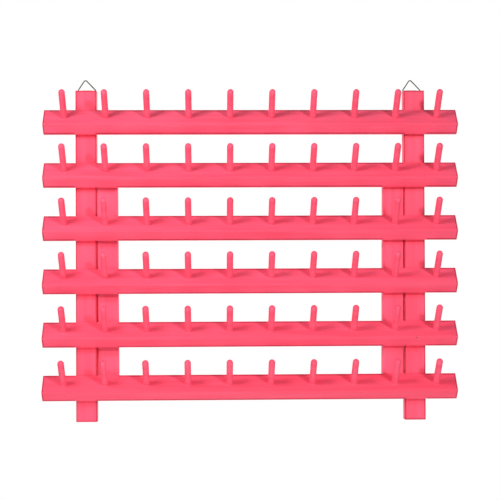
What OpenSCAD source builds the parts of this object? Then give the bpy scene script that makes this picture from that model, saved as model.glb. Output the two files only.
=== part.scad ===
// Folding thread rack: six bevelled rails of slanted pegs on two uprights, with two legs
// that fold out behind it and two wire rings to hang it by.
// Millimetres. +X is to the right, -Y towards the user, +Z up.
// The origin is on the middle plane of the rack, level with the points where the hooks bear
// in the two hanging rings.

/* [Rails] */
// Length of each rail
rail_length = 400; // [380:1:480]
// Height of a rail's section
rail_height = 24; // [22:0.5:30]
// Depth of a rail, from its flat back to its ridge
rail_depth = 16; // [14:0.1:18]
// Width of the narrow flat left along a rail's top edge
rail_land = 0.8; // [0.7:0.1:2]
// Radius along a rail's ridge and lower front edge
ridge_radius = 1.2; // [0.4:0.1:2]
// Distance from one rail to the next
rail_pitch = 51.4; // [46:0.2:54]
// Sideways place of the set of rails on the uprights
rails_shift = -0.6; // [-2:0.1:2]
// Sideways step from each rail to the next one down, in a rack a little out of square
rail_step = -0.3; // [-0.5:0.1:0.5]

/* [Pegs] */
// Distance from one peg to the next along a rail
peg_pitch = 40; // [30:1:42]
// Diameter of a peg
peg_diameter = 6.2; // [4:0.1:7]
// Length of a peg, with the part that is glued in
peg_length = 40; // [25:1:44]
// Depth of the blind hole that a peg's tenon is glued into
peg_seat = 7; // [4:0.5:7.5]
// Width of the shoulder round a peg's tenon, which sits on the bevel
peg_shoulder = 0.6; // [0.3:0.1:1]

/* [Uprights] */
// Distance between the middles of the two uprights
upright_spacing = 319.3; // [260:0.1:360]
// Width of an upright
upright_width = 20.25; // [16:0.25:26]
// Thickness of an upright, from front to back
upright_depth = 13; // [11:0.5:18]
// Length of an upright
upright_length = 321; // [310:1:400]
// Height of an upright's top above the top edge of the first rail
top_margin = 19; // [17:0.5:26]
// Radius of the sanded edges of the boards
board_edge_radius = 0.8; // [0.3:0.1:1.5]

/* [Legs] */
// Width of a folding leg
leg_width = 20; // [14:0.5:24]
// Thickness of a folding leg, from front to back
leg_depth = 12; // [10:0.5:14]
// Length of a folding leg
leg_length = 227; // [160:1:232]
// Height of a leg's bevelled head above its pivot
leg_head = 8; // [6:0.5:8.5]
// Angle between the folded and the open leg, which the bevelled head sets
leg_open_angle = 30; // [15:1:40]
// Angle that the left leg stands open in the stored position
left_leg_rest = 1.5; // [0:0.1:3]
// Angle that the right leg stands open in the stored position
right_leg_rest = 0; // [0:0.1:3]
// Angle that the left leg's foot leans in, out of square
left_leg_lean = 0.1; // [0:0.05:0.5]
// Angle that the right leg's foot leans in, out of square
right_leg_lean = 0.4; // [0:0.05:0.5]

/* [Leg pivot] */
// Depth of the pivot below the top edge of the second rail
pivot_drop = 9; // [8.5:0.5:10]
// Diameter of the plain shank of the pivot screw
pivot_diameter = 4; // [3:0.1:5]
// Length of the pivot screw in the upright
pivot_grip = 12; // [6:0.5:15]
// Gap between a leg and the upright beside it, at the pivot
leg_side_gap = 0.25; // [0.2:0.05:1]

/* [Rail screws] */
// Diameter of the screws that hold the rails
screw_diameter = 3.5; // [2.5:0.1:4]
// Length of these screws
screw_length = 23; // [16:0.5:24]
// Depth of a screw's axis below the top edge of its rail
screw_drop = 17; // [16.6:0.1:18]

/* [Hangers] */
// Diameter of the wire of a hanging ring
wire_diameter = 1.1; // [0.8:0.1:2]
// Width of the ring's triangle, along the middle of the wire
ring_width = 19.5; // [16:0.5:24]
// Height of the ring's triangle, along the middle of the wire
ring_height = 12; // [9:0.5:16]
// Sideways lean of the ring's apex
ring_apex_shift = -1.8; // [-3:0.1:3]
// Bend radius of the wire at the apex
apex_bend = 1.8; // [1.2:0.1:2.5]
// Bend radius of the wire at the two lower corners
corner_bend = 1.2; // [1.1:0.1:2]
// Height of the ring's pivot above the top of the upright
ring_rise = 0.6; // [0:0.1:2]
// Width of the sheet metal strap that holds the ring
strap_width = 9; // [6:0.5:11]
// Thickness of the strap
strap_thickness = 0.8; // [0.5:0.1:1.2]
// Depth of the strap's screw below the ring's pivot
strap_screw_drop = 7.5; // [6:0.5:9]
// Diameter of the strap's screw
strap_screw_diameter = 2.5; // [2:0.1:3]
// Length of the strap's screw
strap_screw_length = 9; // [6:0.5:11]

/* [Fits] */
// Radial running clearance of the leg on its pivot screw
pivot_clearance = 0.05; // [0.02:0.01:0.1]
// Radial running clearance of the ring in its strap
ring_clearance = 0.08; // [0.03:0.01:0.1]
// Radial gap round a glued peg and round the screws
seat_clearance = 0.05; // [0.02:0.01:0.1]
// Gap between a folded leg and the backs of the rails
leg_back_gap = 0.3; // [0.2:0.05:1]
// Gap between the two cut ends of a ring's wire, inside the strap's eye
wire_end_gap = 0.4; // [0.2:0.1:1]
// Gap left at the open leg's stop
stop_gap = 0.12; // [0.05:0.01:0.2]

/* [Hidden] */

$fn = 64;
paint = [0.996, 0.361, 0.478];
brass = [0.60, 0.50, 0.34];
steel = [0.66, 0.66, 0.68];
left = -1;
right = 1;
rail_count = 6;
pegs_per_rail = 10;
bevel_angle = 45;
through = 1;
wire_sides = 16;
bend_steps = 8;

// The rail's section. Both bevels slope at 45 degrees, so each falls as far as it comes forward.
ridge_drop = rail_depth - rail_land;
rail_foot = rail_depth - (rail_height - ridge_drop);
rail_edge_radius = 0.5;
bevel_middle = [(rail_land + rail_depth) / 2, ridge_drop / 2];
peg_tenon_radius = peg_diameter / 2 - peg_shoulder;

// Heights above the lower ends of the uprights
function rail_top(row) = upright_length - top_margin - (row - 1) * rail_pitch;

// Sideways place of a rail's middle
function rail_middle(row) = rails_shift + rail_step * (row - (rail_count + 1) / 2);

pivot_height = rail_top(2) - pivot_drop;
ring_pivot_height = upright_length + ring_rise;

// The leg in its own frame, with its pivot at the origin
pivot_y = leg_back_gap + leg_depth / 2;
leg_stop_offset = pivot_y - stop_gap;
pivot_head_radius = pivot_diameter;
pivot_point_length = pivot_diameter;

// Screw heads, in shares of their shanks as such screws are made
screw_head_radius = screw_diameter;
screw_point_length = 1.5 * screw_diameter;
strap_head_radius = 1.05 * strap_screw_diameter;
strap_head_height = 0.55 * strap_screw_diameter;

// The rolled eye of the strap
wire_radius = wire_diameter / 2;
eye_radius = wire_radius + ring_clearance;
eye_outer_radius = eye_radius + strap_thickness;
ring_y = upright_depth + eye_outer_radius;

// Height of the wire's top point above the ring's pivot, which the bend at the apex lowers
apex_point = [ring_apex_shift, ring_height];
ring_corners = [[-ring_width / 2, 0], [ring_width / 2, 0], apex_point];
function unit(v) = v / norm(v);
function corner_half_angle(before, at, after) =
    acos(unit(before - at) * unit(after - at)) / 2;
apex_half_angle = corner_half_angle(ring_corners[1], apex_point, ring_corners[0]);
apex_drop = apex_bend * (1 / sin(apex_half_angle) - 1);
hook_height = ring_pivot_height + ring_height - apex_drop - wire_radius;

// Moves what is drawn above the uprights' lower ends to the origin at the hanging points
module placed() {
    translate([0, -ring_y, -hook_height]) children();
}

// A flat outline with round corners. Each corner is [x, y, radius], and all turn the same way.
module round_cornered(corners) {
    count = len(corners);
    points = [for (corner = corners) [corner[0], corner[1]]];
    half = [for (i = [0 : count - 1]) corner_half_angle(
        points[(i + count - 1) % count], points[i], points[(i + 1) % count])];
    run = [for (i = [0 : count - 1]) corners[i][2] / tan(half[i])];
    to_before = [for (i = [0 : count - 1]) unit(points[(i + count - 1) % count] - points[i])];
    to_after = [for (i = [0 : count - 1]) unit(points[(i + 1) % count] - points[i])];
    union() {
        polygon([for (i = [0 : count - 1]) each [
            points[i] + run[i] * to_before[i],
            points[i] + run[i] * to_after[i]
        ]]);
        for (i = [0 : count - 1])
            translate(points[i] + unit(to_before[i] + to_after[i]) * corners[i][2] / sin(half[i]))
                circle(r = corners[i][2]);
    }
}

// Draws a flat outline's x and y as Y and Z, and runs it along X on both sides of the middle
module along_x(length) {
    rotate([90, 0, 90])
        linear_extrude(height = length, center = true)
            children();
}

// A board that stands on its lower end, with its front face in the plane y = 0
module board(width, depth, length) {
    radius = min(board_edge_radius, width / 4, depth / 4);
    linear_extrude(height = length)
        round_cornered([
            [-width / 2, 0, radius], [width / 2, 0, radius],
            [width / 2, depth, radius], [-width / 2, depth, radius]
        ]);
}

// Height of the straight rim round a countersunk head
function head_rim(head_radius) = head_radius / 10;

// The hole for a countersunk screw that goes down from z = 0, wider than the screw all round
module countersunk_hole(shank_radius, head_radius, clearance, depth) {
    hole_head_radius = head_radius + clearance;
    rim = head_rim(head_radius);
    translate([0, 0, -depth]) cylinder(h = depth + through, r = shank_radius + clearance);
    translate([0, 0, -rim - hole_head_radius])
        cylinder(h = hole_head_radius, r1 = 0, r2 = hole_head_radius);
    translate([0, 0, -rim]) cylinder(h = rim + through, r = hole_head_radius);
}

// A countersunk wood screw, its flat head at z = 0 and its point down, with a cross recess
module countersunk_screw(shank_radius, head_radius, length, point_length) {
    recess_width = head_radius / 4;
    recess_length = 1.2 * head_radius;
    recess_depth = head_radius / 3;
    rim = head_rim(head_radius);
    tip_radius = shank_radius / 8;
    difference() {
        union() {
            translate([0, 0, -length]) cylinder(h = point_length, r1 = tip_radius, r2 = shank_radius);
            translate([0, 0, point_length - length])
                cylinder(h = length - point_length - rim, r = shank_radius);
            translate([0, 0, -rim - head_radius])
                cylinder(h = head_radius, r1 = 0, r2 = head_radius);
            translate([0, 0, -rim]) cylinder(h = rim, r = head_radius);
        }
        for (turn = [0, 90])
            rotate(turn)
                translate([-recess_length / 2, -recess_width / 2, -recess_depth])
                    cube([recess_length, recess_width, recess_depth + through]);
    }
}

// Where the axis of a rail's screw meets the back of an upright, with Z pointing out of it
module at_rail_screw(side, row) {
    translate([side * upright_spacing / 2, upright_depth, rail_top(row) - screw_drop])
        rotate([-90, 0, 0])
            children();
}

// Where the strap's screw meets the back of an upright, with Z pointing out of it
module at_strap_screw(side) {
    translate([side * upright_spacing / 2, upright_depth, ring_pivot_height - strap_screw_drop])
        rotate([-90, 0, 0])
            children();
}

// The pivot's axis at the inner face of an upright, with Z pointing to the middle of the rack
module at_pivot(side) {
    inner_face = upright_spacing / 2 - upright_width / 2;
    translate([side * inner_face, pivot_y, pivot_height])
        rotate([0, -side * 90, 0])
            children();
}

// The middle of a rail's bevel at one peg, with Z pointing out along the peg
module at_peg(row, place) {
    x = rail_middle(row) + (place - (pegs_per_rail - 1) / 2) * peg_pitch;
    translate([x, -bevel_middle[0], rail_top(row) - bevel_middle[1]])
        rotate([bevel_angle, 0, 0])
            children();
}

module upright(side) {
    color(paint)
        difference() {
            translate([side * upright_spacing / 2, 0, 0])
                board(upright_width, upright_depth, upright_length);
            for (row = [1 : rail_count])
                at_rail_screw(side, row)
                    countersunk_hole(
                        screw_diameter / 2, screw_head_radius, seat_clearance,
                        upright_depth + through);
            at_pivot(side)
                translate([0, 0, -pivot_grip - seat_clearance])
                    cylinder(
                        h = pivot_grip + seat_clearance + through,
                        r = pivot_diameter / 2 + seat_clearance);
            at_strap_screw(side)
                translate([0, 0, -strap_screw_length])
                    cylinder(
                        h = strap_screw_length + through,
                        r = strap_screw_diameter / 2 + seat_clearance);
        }
}

module rail_section() {
    round_cornered([
        [0, 0, rail_edge_radius],
        [-rail_land, 0, rail_edge_radius],
        [-rail_depth, -ridge_drop, ridge_radius],
        [-rail_foot, -rail_height, ridge_radius],
        [0, -rail_height, rail_edge_radius]
    ]);
}

module rail(row) {
    color(paint)
        difference() {
            translate([rail_middle(row), 0, rail_top(row)])
                along_x(rail_length)
                    rail_section();
            for (place = [0 : pegs_per_rail - 1])
                at_peg(row, place)
                    translate([0, 0, -peg_seat])
                        cylinder(h = peg_seat + through, r = peg_tenon_radius + seat_clearance);
            for (side = [left, right])
                at_rail_screw(side, row)
                    translate([0, 0, -screw_length - seat_clearance])
                        cylinder(
                            h = screw_length,
                            r = screw_diameter / 2 + seat_clearance);
        }
}

// One peg: a dowel with a round end, whose shoulder sits on the bevel round its glued tenon
module peg() {
    radius = peg_diameter / 2;
    shank_length = peg_length - peg_seat - radius;
    translate([0, 0, -peg_seat]) cylinder(h = peg_seat + through, r = peg_tenon_radius);
    cylinder(h = shank_length, r = radius);
    translate([0, 0, shank_length]) sphere(r = radius);
}

module rail_pegs(row) {
    color(paint)
        for (place = [0 : pegs_per_rail - 1])
            at_peg(row, place)
                peg();
}

module rail_screws(side) {
    color(steel)
        for (row = [1 : rail_count])
            at_rail_screw(side, row)
                countersunk_screw(
                    screw_diameter / 2, screw_head_radius, screw_length, screw_point_length);
}

// A leg as it hangs folded, with its pivot on the X axis and its outer face at x = 0.
// Its head is bevelled at the opening angle, so that it meets the rail when the leg is open.
module folded_leg(lean) {
    difference() {
        rotate([0, lean, 0])
            translate([-leg_width / 2, -leg_depth / 2, leg_head - leg_length])
                board(leg_width, leg_depth, leg_length);
        rotate([-leg_open_angle, 0, 0])
            translate([-leg_width - 2 * through, -leg_stop_offset - leg_depth, -leg_depth])
                cube([leg_width + 4 * through, leg_depth, 2 * leg_depth + leg_head]);
        translate([-leg_width, 0, 0])
            rotate([0, -90, 0])
                countersunk_hole(
                    pivot_diameter / 2, pivot_head_radius, pivot_clearance,
                    leg_width + 2 * through);
    }
}

// A leg in its stored position, drawn for the right side and mirrored for the left
module leg(side, lean, rest) {
    inner_face = upright_spacing / 2 - upright_width / 2;
    color(paint)
        mirror([side == left ? 1 : 0, 0, 0])
            translate([inner_face - leg_side_gap, pivot_y, pivot_height])
                rotate([rest, 0, 0])
                    folded_leg(lean);
}

module pivot_screw(side) {
    reach = leg_side_gap + leg_width;
    color(steel)
        at_pivot(side)
            translate([0, 0, reach])
                countersunk_screw(
                    pivot_diameter / 2, pivot_head_radius, reach + pivot_grip,
                    pivot_point_length);
}

// The strap: a plate on the back of the upright whose top is rolled round the ring's wire
module hanger_strap(side) {
    plate_drop = strap_screw_drop;
    color(brass)
        translate([side * upright_spacing / 2, 0, ring_pivot_height])
            difference() {
                union() {
                    translate([-strap_width / 2, upright_depth, -plate_drop])
                        cube([strap_width, strap_thickness, plate_drop]);
                    translate([0, upright_depth + strap_thickness, -plate_drop])
                        rotate([90, 0, 0])
                            cylinder(h = strap_thickness, r = strap_width / 2);
                    translate([-strap_width / 2, ring_y, 0])
                        rotate([0, 90, 0])
                            cylinder(h = strap_width, r = eye_outer_radius);
                }
                translate([-strap_width / 2 - through, ring_y, 0])
                    rotate([0, 90, 0])
                        cylinder(h = strap_width + 2 * through, r = eye_radius);
                translate([0, upright_depth - through, -strap_screw_drop])
                    rotate([-90, 0, 0])
                        cylinder(
                            h = strap_thickness + 2 * through,
                            r = strap_screw_diameter / 2 + seat_clearance);
            }
}

// The strap's round-headed screw
module hanger_screw(side) {
    slot_width = strap_head_height / 3;
    slot_depth = strap_head_height / 2;
    color(steel)
        at_strap_screw(side)
            difference() {
                union() {
                    translate([0, 0, strap_thickness - strap_screw_length])
                        cylinder(h = strap_screw_length, r = strap_screw_diameter / 2);
                    translate([0, 0, strap_thickness])
                        cylinder(
                            h = strap_head_height,
                            r1 = strap_head_radius,
                            r2 = 0.7 * strap_head_radius);
                }
                translate([
                    -strap_head_radius, -slot_width / 2,
                    strap_thickness + strap_head_height - slot_depth
                ])
                    cube([2 * strap_head_radius, slot_width, slot_depth + through]);
            }
}

// The middle line of the bent wire: each station is its point and the wire's heading there.
// The wire starts and ends in the strap's eye, where its two cut ends face each other.
function bend_stations(before, at, after, bend) =
    let (
        half = corner_half_angle(before, at, after),
        centre = at + unit(unit(before - at) + unit(after - at)) * bend / sin(half),
        start = at + unit(before - at) * bend / tan(half) - centre,
        start_angle = atan2(start[1], start[0])
    )
    [for (step = [0 : bend_steps])
        let (angle = start_angle + (180 - 2 * half) * step / bend_steps)
        [centre + bend * [cos(angle), sin(angle)], angle + 90]];

wire_stations = [
    [[wire_end_gap / 2, 0], 0],
    each bend_stations(ring_corners[0], ring_corners[1], apex_point, corner_bend),
    each bend_stations(ring_corners[1], apex_point, ring_corners[0], apex_bend),
    each bend_stations(apex_point, ring_corners[0], ring_corners[1], corner_bend),
    [[-wire_end_gap / 2, 0], 0]
];

// The triangular ring, bent from one wire, drawn flat and stood up behind the upright
module hanger_ring(side) {
    last = len(wire_stations) - 1;
    points = [for (station = wire_stations, k = [0 : wire_sides - 1])
        let (
            out = wire_radius * cos(360 * k / wire_sides),
            up = wire_radius * sin(360 * k / wire_sides)
        )
        [
            station[0][0] - out * sin(station[1]),
            station[0][1] + out * cos(station[1]),
            up
        ]];
    skin = [for (i = [0 : last - 1], k = [0 : wire_sides - 1])
        let (
            a = i * wire_sides + k,
            b = i * wire_sides + (k + 1) % wire_sides
        )
        each [[a, b, b + wire_sides], [a, b + wire_sides, a + wire_sides]]];
    first_end = [for (k = [wire_sides - 1 : -1 : 0]) k];
    last_end = [for (k = [0 : wire_sides - 1]) last * wire_sides + k];
    color(brass)
        translate([side * upright_spacing / 2, ring_y, ring_pivot_height])
            rotate([90, 0, 0])
                polyhedron(points = points, faces = [each skin, first_end, last_end]);
}

placed() upright(left);  // left_upright
placed() upright(right);  // right_upright
placed() rail(1);  // rail_1
placed() rail(2);  // rail_2
placed() rail(3);  // rail_3
placed() rail(4);  // rail_4
placed() rail(5);  // rail_5
placed() rail(6);  // rail_6
placed() rail_pegs(1);  // rail_1_pegs
placed() rail_pegs(2);  // rail_2_pegs
placed() rail_pegs(3);  // rail_3_pegs
placed() rail_pegs(4);  // rail_4_pegs
placed() rail_pegs(5);  // rail_5_pegs
placed() rail_pegs(6);  // rail_6_pegs
placed() rail_screws(left);  // left_rail_screws
placed() rail_screws(right);  // right_rail_screws
placed() leg(left, left_leg_lean, left_leg_rest);  // left_leg
placed() leg(right, right_leg_lean, right_leg_rest);  // right_leg
placed() pivot_screw(left);  // left_pivot_screw
placed() pivot_screw(right);  // right_pivot_screw
placed() hanger_strap(left);  // left_hanger_strap
placed() hanger_strap(right);  // right_hanger_strap
placed() hanger_ring(left);  // left_hanger_ring
placed() hanger_ring(right);  // right_hanger_ring
placed() hanger_screw(left);  // left_hanger_screw
placed() hanger_screw(right);  // right_hanger_screw
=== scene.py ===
"""The look of the folding thread rack: paint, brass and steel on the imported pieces, the paint's
fillets round the pegs, soft studio light on a pale floor, and a camera in front of the rack."""

import math

import bpy
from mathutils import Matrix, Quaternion, Vector


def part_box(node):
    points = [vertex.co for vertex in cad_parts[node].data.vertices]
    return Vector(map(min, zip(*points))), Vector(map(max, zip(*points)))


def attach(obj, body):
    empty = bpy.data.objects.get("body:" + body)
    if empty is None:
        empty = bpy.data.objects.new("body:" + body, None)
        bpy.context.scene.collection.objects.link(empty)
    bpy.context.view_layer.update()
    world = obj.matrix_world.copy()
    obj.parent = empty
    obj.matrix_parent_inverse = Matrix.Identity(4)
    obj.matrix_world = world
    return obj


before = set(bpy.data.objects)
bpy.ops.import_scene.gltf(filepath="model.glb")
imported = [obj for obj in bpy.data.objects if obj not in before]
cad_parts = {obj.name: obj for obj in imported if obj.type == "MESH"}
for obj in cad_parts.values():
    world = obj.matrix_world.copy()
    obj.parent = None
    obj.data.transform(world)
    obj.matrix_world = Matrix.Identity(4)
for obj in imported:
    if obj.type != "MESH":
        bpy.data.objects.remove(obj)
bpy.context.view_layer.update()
scene = bpy.context.scene

MM = 0.001
SIDES = ("left", "right")
ROWS = range(1, 7)
PEGS_PER_RAIL = 10
PEG_PITCH = 40.0
PEG_RADIUS = 3.1
RAIL_LENGTH = 400.0
RAIL_HEIGHT = 24.0
RAIL_DEPTH = 16.0
# The bevel that carries the pegs falls at 45 degrees from the land along a rail's top edge.
RAIL_LAND = 0.8
RIDGE_DROP = RAIL_DEPTH - RAIL_LAND
BEVEL_UP = Vector((0.0, math.sqrt(0.5), math.sqrt(0.5)))
BEVEL_OUT = Vector((0.0, -math.sqrt(0.5), math.sqrt(0.5)))
ALONG = Vector((1.0, 0.0, 0.0))

# Everything below is placed from the uprights: x from the rack's middle plane, y from their
# front faces towards the wall, z from their lower ends, in millimetres.
upright_low, upright_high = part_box("left_upright")
FRONT = upright_low.y
FOOT = upright_low.z
UPRIGHT_WIDTH = (upright_high.x - upright_low.x) / MM
UPRIGHT_LENGTH = (upright_high.z - upright_low.z) / MM


def at(x, y, z):
    return Vector((x * MM, FRONT + y * MM, FOOT + z * MM))


def new_material(name):
    mat = bpy.data.materials.new(name)
    mat.use_nodes = True
    return mat, mat.node_tree.nodes, mat.node_tree.links


def stretched_coords(nodes, links, along, across, axis):
    """Object coordinates, scaled to `along` cycles per metre on the grain's axis and `across`
    on the other two."""
    coords = nodes.new("ShaderNodeTexCoord")
    mapping = nodes.new("ShaderNodeMapping")
    mapping.inputs["Scale"].default_value = [
        along if k == axis else across for k in range(3)
    ]
    links.new(coords.outputs["Object"], mapping.inputs["Vector"])
    return mapping.outputs["Vector"]


def noise(nodes, links, vector, detail):
    tex = nodes.new("ShaderNodeTexNoise")
    tex.inputs["Scale"].default_value = 1.0
    tex.inputs["Detail"].default_value = detail
    tex.inputs["Roughness"].default_value = 0.55
    links.new(vector, tex.inputs["Vector"])
    return tex.outputs["Fac"]


def scaled(nodes, links, value, low, high, out_low, out_high):
    ramp = nodes.new("ShaderNodeMapRange")
    ramp.inputs["From Min"].default_value = low
    ramp.inputs["From Max"].default_value = high
    ramp.inputs["To Min"].default_value = out_low
    ramp.inputs["To Max"].default_value = out_high
    links.new(value, ramp.inputs["Value"])
    return ramp.outputs["Result"]


def calculated(nodes, links, operation, first, second=None):
    step = nodes.new("ShaderNodeMath")
    step.operation = operation
    for socket, value in zip(step.inputs, (first, second)):
        if isinstance(value, float):
            socket.default_value = value
        elif value is not None:
            links.new(value, socket)
    return step.outputs[0]


def distance(nodes, links, value, middle):
    """How far a value lies from the middle, to either side."""
    off = calculated(nodes, links, "SUBTRACT", value, middle)
    return calculated(nodes, links, "ABSOLUTE", off)


def mixed(nodes, links, factor, first, second):
    mix = nodes.new("ShaderNodeMix")
    mix.data_type = "RGBA"
    links.new(factor, mix.inputs["Factor"])
    for socket, value in (("A", first), ("B", second)):
        target = next(s for s in mix.inputs if s.name == socket and s.type == "RGBA")
        if isinstance(value, tuple):
            target.default_value = (*value, 1.0)
        else:
            links.new(value, target)
    return next(s for s in mix.outputs if s.type == "RGBA")


def split(nodes, links, vector):
    """The X, Y and Z of a vector."""
    parts = nodes.new("ShaderNodeSeparateXYZ")
    links.new(vector, parts.inputs["Vector"])
    return parts.outputs


PAINT = (0.985, 0.106, 0.191)
PAINT_DEEP = (0.968, 0.087, 0.164)
PAINT_PALE = (0.99, 0.124, 0.218)
# Painted shade: the dark crimson of the line along the edges of rails and uprights
PAINTED_EDGE_SHADE = (0.52, 0.018, 0.045)
# The painted shade along the edges is solid up to the first distance from an edge and gone at
# the second, and where it ends along the edge it fades over the third to either side.
EDGE_SOLID = 0.78
EDGE_END = 1.69
EDGE_FADE = 1.0
# The part of a face's direction along an axis from which the line fades, and where it is gone
TURN_STARTS = 0.8
TURN_ENDS = 0.95
# The part along Y from which the ridge's painted shade shows, and where it shows in full
RIDGE_STARTS = -0.82
RIDGE_ENDS = -1.0
# Cycles per metre along and across the grain
BANDS = (9.0, 160.0)
STREAKS = (25.0, 900.0)
CLOUDS = (14.0, 22.0)


def bare_between(nodes, links, place, edge, start, end):
    """0 between two shares of a rail's length at its upper or lower edge, and 1 elsewhere."""
    off = distance(nodes, links, place["X"], (start + end) / 2)
    half, fade = (end - start) / 2, EDGE_FADE / RAIL_LENGTH
    beyond = scaled(nodes, links, off, half - fade, half + fade, 0.0, 1.0)
    test = "LESS_THAN" if edge == "upper" else "GREATER_THAN"
    other_edge = calculated(nodes, links, test, place["Z"], 0.5)
    return calculated(nodes, links, "MAXIMUM", beyond, other_edge)


def painted_edge_shade(nodes, links, sizes, backed):
    """The mask of the painted edge shade: 1 in a narrow line along the piece's own edges across
    each axis in `sizes`, which gives the piece's size there in millimetres, and 0 elsewhere. A
    face that looks along such an axis has no line, and neither have the stretches in `backed`."""
    coords = nodes.new("ShaderNodeTexCoord")
    place = split(nodes, links, coords.outputs["Generated"])
    facing = split(nodes, links, coords.outputs["Normal"])
    line = None
    for axis, size in sizes.items():
        away = distance(nodes, links, place[axis], 0.5)
        start, solid = 0.5 - EDGE_END / size, 0.5 - EDGE_SOLID / size
        here = scaled(nodes, links, away, start, solid, 0.0, 1.0)
        turned = calculated(nodes, links, "ABSOLUTE", facing[axis])
        side_on = scaled(nodes, links, turned, TURN_STARTS, TURN_ENDS, 1.0, 0.0)
        here = calculated(nodes, links, "MULTIPLY", here, side_on)
        line = here if line is None else calculated(nodes, links, "MAXIMUM", line, here)
    for stretch in backed:
        bare = bare_between(nodes, links, place, *stretch)
        line = calculated(nodes, links, "MULTIPLY", line, bare)
    return line


def deeper(colour, share):
    """The same red with its green and blue times `share`, which is painted shade below 1 and
    painted light above 1.
    """
    return (colour[0], colour[1] * share, colour[2] * share)


def facing_front(nodes, links):
    """1 where a piece looks straight to the front, and 0 from about 35 degrees off it."""
    coords = nodes.new("ShaderNodeTexCoord")
    facing = split(nodes, links, coords.outputs["Normal"])
    return scaled(nodes, links, facing["Y"], RIDGE_STARTS, RIDGE_ENDS, 0.0, 1.0)


def painted(name, axis, edges=None, shading_share=1.0, ridge_shade=None, backed=()):
    """Satin coral paint over wood, whose grain runs along the given axis (0 X, 1 Y, 2 Z), its
    green and blue times the given shading share: painted light above 1, painted shade below 1.
    Painted shade darkens it along the edges across the axes in `edges`, but not in the stretches
    in `backed`, and the ridge share is the painted shade where a ridge looks to the front."""
    mat, nodes, links = new_material(name)
    shader = nodes["Principled BSDF"]
    bands = noise(nodes, links, stretched_coords(nodes, links, *BANDS, axis), 2.0)
    streaks = noise(nodes, links, stretched_coords(nodes, links, *STREAKS, axis), 4.0)
    clouds = noise(nodes, links, stretched_coords(nodes, links, *CLOUDS, axis), 2.0)
    banded = scaled(nodes, links, bands, 0.35, 0.65, 0.0, 1.0)
    tone = mixed(nodes, links, banded, deeper(PAINT_DEEP, shading_share), deeper(PAINT_PALE, shading_share))
    cloudy = scaled(nodes, links, clouds, 0.3, 0.7, 0.0, 0.5)
    tone = mixed(nodes, links, cloudy, tone, deeper(PAINT, shading_share))
    # Painted shade: a dark line along the edges, which catch less light
    if edges:
        line = painted_edge_shade(nodes, links, edges, backed)
        patches = scaled(nodes, links, clouds, 0.3, 0.7, 0.7, 0.95)
        patchy = calculated(nodes, links, "MULTIPLY", line, patches)
        tone = mixed(nodes, links, patchy, tone, PAINTED_EDGE_SHADE)
    # Painted shade where a ridge looks to the front
    if ridge_shade:
        tone = mixed(nodes, links, facing_front(nodes, links), tone, deeper(PAINT, ridge_shade))
    links.new(tone, shader.inputs["Base Color"])
    gloss = scaled(nodes, links, streaks, 0.3, 0.7, 0.44, 0.58)
    links.new(gloss, shader.inputs["Roughness"])
    shader.inputs["Specular IOR Level"].default_value = 0.18
    bump = nodes.new("ShaderNodeBump")
    bump.inputs["Strength"].default_value = 0.35
    bump.inputs["Distance"].default_value = 0.08 * MM
    links.new(streaks, bump.inputs["Height"])
    links.new(bump.outputs["Normal"], shader.inputs["Normal"])
    return mat


def metal(name, colour, dark, roughness, metallic=1.0):
    mat, nodes, links = new_material(name)
    shader = nodes["Principled BSDF"]
    spots = noise(nodes, links, stretched_coords(nodes, links, 700.0, 700.0, 0), 3.0)
    spotted = scaled(nodes, links, spots, 0.35, 0.65, 0.0, 1.0)
    links.new(mixed(nodes, links, spotted, colour, dark), shader.inputs["Base Color"])
    shader.inputs["Metallic"].default_value = metallic
    gloss = scaled(nodes, links, spots, 0.3, 0.7, roughness - 0.08, roughness + 0.08)
    links.new(gloss, shader.inputs["Roughness"])
    return mat


# Shares of green and blue that paint light and shade into the coral: below 1 is painted shade,
# above 1 painted light. The two lowest rails get painted shade where the light falls off
# towards the bottom of the rack.
RAIL_PAINTED_SHADE = (1.0, 1.0, 1.0, 1.0, 0.94, 0.87)
# Painted shade on the rails' faces that look to the front, which catch more light
RIDGE_PAINTED_SHADE = 0.80
# Painted shade on the uprights, which face the front and catch more light than the rails
UPRIGHT_PAINTED_SHADE = 0.88
# Painted light on the left leg and painted shade on the right leg
LEG_PAINTED_LIGHT_AND_SHADE = {"left": 1.05, "right": 0.95}
RAIL_EDGES = {"X": RAIL_LENGTH, "Z": RAIL_HEIGHT}
UPRIGHT_EDGES = {"X": UPRIGHT_WIDTH, "Z": UPRIGHT_LENGTH}
paint_peg = painted("coral_paint_peg", 0)
paint_upright = painted("coral_paint_upright", 2, UPRIGHT_EDGES, UPRIGHT_PAINTED_SHADE)
brass = metal("darkened_brass_wire", (0.028, 0.020, 0.012), (0.014, 0.010, 0.007), 0.45, 0.5)
strap_brass = metal("dull_brass_strap", (0.42, 0.32, 0.16), (0.30, 0.22, 0.11), 0.42)
zinc = metal("zinc_screw", (0.52, 0.52, 0.53), (0.40, 0.40, 0.42), 0.38)
dark_steel = metal("dark_screw_tip", (0.05, 0.03, 0.03), (0.03, 0.02, 0.02), 0.5)


def finish_node(node, mat):
    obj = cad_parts[node]
    obj.data.materials.clear()
    obj.data.materials.append(mat)


def backed_edges(row):
    """Where the boards lie behind a rail's upper or lower edge, as shares of its length."""
    low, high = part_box(f"rail_{row}")
    length = high.x - low.x
    backed = []
    for side in SIDES:
        for board in (f"{side}_upright", f"{side}_leg"):
            board_low, board_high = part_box(board)
            start, end = (board_low.x - low.x) / length, (board_high.x - low.x) / length
            for edge, height in (("upper", high.z), ("lower", low.z)):
                if board_low.z < height < board_high.z:
                    backed.append((edge, start, end))
    return backed


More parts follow.
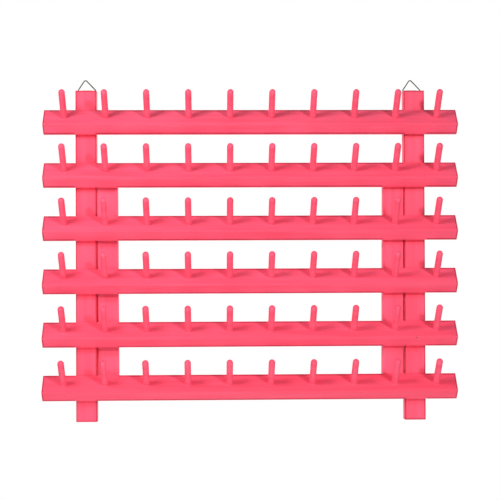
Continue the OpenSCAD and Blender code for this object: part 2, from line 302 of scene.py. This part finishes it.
for row, shading_share in zip(ROWS, RAIL_PAINTED_SHADE):
    name, ridge_shade = f"coral_paint_rail_{row}", RIDGE_PAINTED_SHADE * shading_share
    paint = painted(name, 0, RAIL_EDGES, shading_share, ridge_shade, backed_edges(row))
    finish_node(f"rail_{row}", paint)
    finish_node(f"rail_{row}_pegs", paint_peg)
for side in SIDES:
    paint_leg = painted(f"coral_paint_{side}_leg", 2, shading_share=LEG_PAINTED_LIGHT_AND_SHADE[side])
    finish_node(f"{side}_upright", paint_upright)
    finish_node(f"{side}_leg", paint_leg)
    finish_node(f"{side}_hanger_ring", brass)
    finish_node(f"{side}_hanger_strap", strap_brass)
    for screws in ("rail_screws", "pivot_screw", "hanger_screw"):
        finish_node(f"{side}_{screws}", zinc)


def soften(node, width):
    """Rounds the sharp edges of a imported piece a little, as sandpaper and paint leave them."""
    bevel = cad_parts[node].modifiers.new("softened_edges", "BEVEL")
    bevel.width = width * MM
    bevel.segments = 2
    bevel.limit_method = "ANGLE"
    bevel.angle_limit = math.radians(40.0)


for row in ROWS:
    soften(f"rail_{row}", 0.2)
for side in SIDES:
    soften(f"{side}_upright", 0.5)
    soften(f"{side}_leg", 0.4)


def new_piece(name, verts, faces, mat, where=(0.0, 0.0, 0.0), smooth=True):
    mesh = bpy.data.meshes.new(name)
    mesh.from_pydata(verts, [], faces)
    mesh.update()
    for face in mesh.polygons:
        face.use_smooth = smooth
    obj = bpy.data.objects.new(name, mesh)
    obj.location = where
    scene.collection.objects.link(obj)
    obj.data.materials.append(mat)
    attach(obj, "frame")


def peg_fillets(row):
    """The paint that has run into the corners between a rail's bevel and its pegs."""
    reach, sink, around, steps = 0.55 * MM, 0.06 * MM, 32, 5
    low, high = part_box(f"rail_{row}")
    drop = RIDGE_DROP / 2 * MM
    middle = Vector(((low.x + high.x) / 2, FRONT - RAIL_LAND * MM - drop, high.z - drop))
    radius = PEG_RADIUS * MM
    curve = [
        (radius + reach * (1 - math.sin(turn)), reach * (1 - math.cos(turn)))
        for turn in (math.pi / 2 * k / steps for k in range(steps + 1))
    ]
    section = [(radius + reach, -sink), *curve, (radius - sink, reach), (radius - sink, -sink)]
    count = len(section)
    verts, faces = [], []
    for place in range(PEGS_PER_RAIL):
        foot = middle + ALONG * (place - (PEGS_PER_RAIL - 1) / 2) * PEG_PITCH * MM
        first = len(verts)
        for k in range(around):
            turn = 2 * math.pi * k / around
            outward = ALONG * math.cos(turn) + BEVEL_UP * math.sin(turn)
            verts += [foot + outward * r + BEVEL_OUT * h for r, h in section]
        for k in range(around):
            here, after = first + k * count, first + (k + 1) % around * count
            for j in range(count):
                step = (j + 1) % count
                faces.append((here + j, after + j, after + step, here + step))
    new_piece(f"rail_{row}_peg_fillets", verts, faces, paint_peg)


def ball(radius, around, rings):
    """The points and faces of a sphere, always in the same order."""
    verts = [Vector((0.0, 0.0, radius))]
    for ring in range(1, rings):
        down = math.pi * ring / rings
        for k in range(around):
            turn = 2 * math.pi * k / around
            side = radius * math.sin(down)
            verts.append(
                Vector((side * math.cos(turn), side * math.sin(turn), radius * math.cos(down)))
            )
    verts.append(Vector((0.0, 0.0, -radius)))
    last = len(verts) - 1
    faces = []
    for k in range(around):
        after = (k + 1) % around
        faces.append((0, 1 + k, 1 + after))
        for first in range(1, last - around, around):
            below = first + around
            faces.append((first + k, below + k, below + after, first + after))
        faces.append((last - around + k, last, last - around + after))
    return verts, faces


def screw_tip():
    """The tip of a rail screw, which has just come through the lower face of the fifth rail."""
    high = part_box("rail_5")[1]
    from_middle, below_top, radius, around, rings = 158.95, 15.6, 0.5, 16, 8
    where = at(from_middle, below_top - RIDGE_DROP - RAIL_DEPTH, 0.0)
    where.z = high.z - below_top * MM
    verts, faces = ball(radius * MM, around, rings)
    new_piece("screw_tip", verts, faces, dark_steel, where, smooth=False)


for row in ROWS:
    peg_fillets(row)
screw_tip()

CAMERA_AT = at(-38.0, -1300.0, 152.0)
CAMERA_AIM = at(-0.95, 0.0, 165.83)
CAMERA_ROLL = math.radians(-0.23)
FRAME_WIDTH = 485.8
CAMERA_DISTANCE = 1300.0

camera_data = bpy.data.cameras.new("camera")
camera_data.sensor_width = 36.0
camera_data.lens = camera_data.sensor_width * CAMERA_DISTANCE / FRAME_WIDTH
camera_data.clip_start = 0.05
camera_data.clip_end = 50.0
camera = bpy.data.objects.new("camera", camera_data)
scene.collection.objects.link(camera)
aim = (CAMERA_AIM - CAMERA_AT).to_track_quat("-Z", "Y")
camera.rotation_mode = "QUATERNION"
camera.rotation_quaternion = aim @ Quaternion((0.0, 0.0, 1.0), CAMERA_ROLL)
camera.location = CAMERA_AT
scene.camera = camera

LIT_PLACE = at(0.0, 0.0, 170.0)


def area_light(name, where, size, level):
    """A square lamp that lights a surface that faces it at LIT_PLACE to `level`, where 1 shows
    a colour as it is written."""
    data = bpy.data.lights.new(name, "AREA")
    data.shape = "SQUARE"
    data.size = size
    to_rack = LIT_PLACE - where
    data.energy = math.pi**2 * to_rack.length**2 * level
    lamp = bpy.data.objects.new(name, data)
    scene.collection.objects.link(lamp)
    lamp.location = where
    lamp.rotation_mode = "QUATERNION"
    lamp.rotation_quaternion = to_rack.to_track_quat("-Z", "Y")


area_light("key_left", at(-500.0, -640.0, 600.0), 0.26, 0.57)
area_light("second_right", at(950.0, -1900.0, 760.0), 0.22, 0.45)
area_light("low_fill", at(-180.0, -600.0, -400.0), 0.7, 0.39)
area_light("back_left", at(-650.0, 1050.0, 820.0), 0.6, 0.48)
area_light("back_right", at(750.0, 950.0, 500.0), 0.6, 0.48)


def seen_directly(nodes, links):
    """1 for the camera's rays and those that metal or glass sends on, and 0 for the others."""
    path = nodes.new("ShaderNodeLightPath").outputs
    seen = calculated(nodes, links, "MAXIMUM", path["Is Camera Ray"], path["Is Glossy Ray"])
    return calculated(nodes, links, "MAXIMUM", seen, path["Is Transmission Ray"])


# The light that comes from all round
ROOM = 0.08
world = bpy.data.worlds.new("studio")
scene.world = world
world.use_nodes = True
w_nodes, w_links = world.node_tree.nodes, world.node_tree.links
background = w_nodes["Background"]
background.inputs["Color"].default_value = (1.0, 1.0, 1.0, 1.0)
in_view = seen_directly(w_nodes, w_links)
w_links.new(scaled(w_nodes, w_links, in_view, 0.0, 1.0, ROOM, 1.0), background.inputs["Strength"])

# A pale floor, far enough below the hung rack to stay out of the camera's frame
FLOOR_DROP = 700.0
FLOOR_SIZE = 5.0
FLOOR_GLOW = 0.75
bpy.ops.mesh.primitive_plane_add(size=FLOOR_SIZE, location=at(0, 0, -FLOOR_DROP))
floor = bpy.context.object
floor.name = "floor"
floor_mat, f_nodes, f_links = new_material("pale_floor")
floor_shader = f_nodes["Principled BSDF"]
floor_shader.inputs["Base Color"].default_value = (0.86, 0.86, 0.86, 1.0)
floor_shader.inputs["Roughness"].default_value = 0.8
floor_shader.inputs["Emission Color"].default_value = (1.0, 1.0, 1.0, 1.0)
in_view = seen_directly(f_nodes, f_links)
glow = scaled(f_nodes, f_links, in_view, 0.0, 1.0, 0.0, FLOOR_GLOW)
f_links.new(glow, floor_shader.inputs["Emission Strength"])
floor.data.materials.append(floor_mat)

scene.view_settings.view_transform = "Standard"
